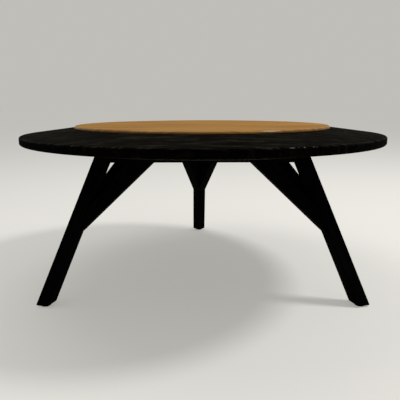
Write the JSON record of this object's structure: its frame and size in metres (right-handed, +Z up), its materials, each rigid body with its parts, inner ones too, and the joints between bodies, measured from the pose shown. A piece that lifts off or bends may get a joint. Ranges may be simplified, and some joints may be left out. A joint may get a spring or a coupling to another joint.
{
  "type": "round coffee table",
  "caption": "Low round wooden table: dished black top, light wood disc let into its middle, splayed legs braced to a triangle of rails.",
  "frame": {"origin": "on the floor, under the middle of the round top", "axes": "+Z up; +Y towards the back leg; +X to the right seen from the front, along the boards' grain"},
  "size_m": [1, 1, 0.455],
  "materials": {
    "black_stained_wood": "oak brushed along the grain and stained black, low satin sheen",
    "natural_oak": "golden brown oak, fine straight grain, oiled satin",
    "beech": "raw beech, fluted or milled",
    "zinc_steel": "zinc-plated steel",
    "glide_nylon": "dark moulded nylon"
  },
  "bodies": {
    "root": {"top_stave_1": "black_stained_wood", "top_stave_2": "black_stained_wood", "top_stave_3": "black_stained_wood", "top_stave_4": "black_stained_wood", "top_stave_5": "black_stained_wood", "top_stave_6": "black_stained_wood", "top_stave_7": "black_stained_wood", "top_stave_8": "black_stained_wood", "disc_stave_1": "natural_oak", "disc_stave_2": "natural_oak", "disc_stave_3": "natural_oak", "disc_stave_4": "natural_oak", "disc_stave_5": "natural_oak", "disc_stave_6": "natural_oak", "leg_back": "black_stained_wood", "leg_left": "black_stained_wood", "leg_right": "black_stained_wood", "rail_left": "black_stained_wood", "rail_front": "black_stained_wood", "rail_right": "black_stained_wood", "brace_back_to_left": "black_stained_wood", "brace_back_to_right": "black_stained_wood", "brace_left_to_right": "black_stained_wood", "brace_left_to_back": "black_stained_wood", "brace_right_to_back": "black_stained_wood", "brace_right_to_left": "black_stained_wood", "glide_back": "glide_nylon", "glide_left": "glide_nylon", "glide_right": "glide_nylon", "rail_dowels": "beech", "brace_foot_dowels": "beech", "brace_head_dowels": "beech", "top_tenons": "beech", "rail_screws": "zinc_steel", "disc_screws": "zinc_steel", "disc_washers": "zinc_steel"}
  },
  "joints": []
}
